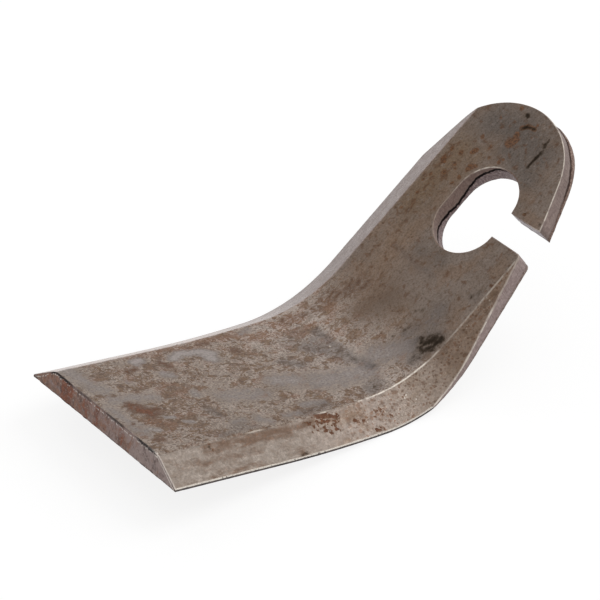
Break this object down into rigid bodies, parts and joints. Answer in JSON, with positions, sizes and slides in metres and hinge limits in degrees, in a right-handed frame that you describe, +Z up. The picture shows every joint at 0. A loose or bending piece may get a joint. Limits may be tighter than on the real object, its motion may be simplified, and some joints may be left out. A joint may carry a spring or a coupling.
{
  "type": "flail mower knife",
  "caption": "Bent flail mower knife half of bevelled flat steel bar, with a rounded hook-shaped head, a slotted pin hole and a side slit into it.",
  "frame": {"origin": "on the floor under the middle of the blade as it rests on the convex side of its bend", "axes": "+X from the cutting leg's tip towards the head, +Z up, the hook's slit opens towards -Y"},
  "size_m": [0.0964, 0.04, 0.0336],
  "materials": {
    "steel": "bare hot rolled steel, grey-brown with light rust blotches, ground bevels"
  },
  "bodies": {
    "root": {"blade": "steel"}
  },
  "joints": []
}
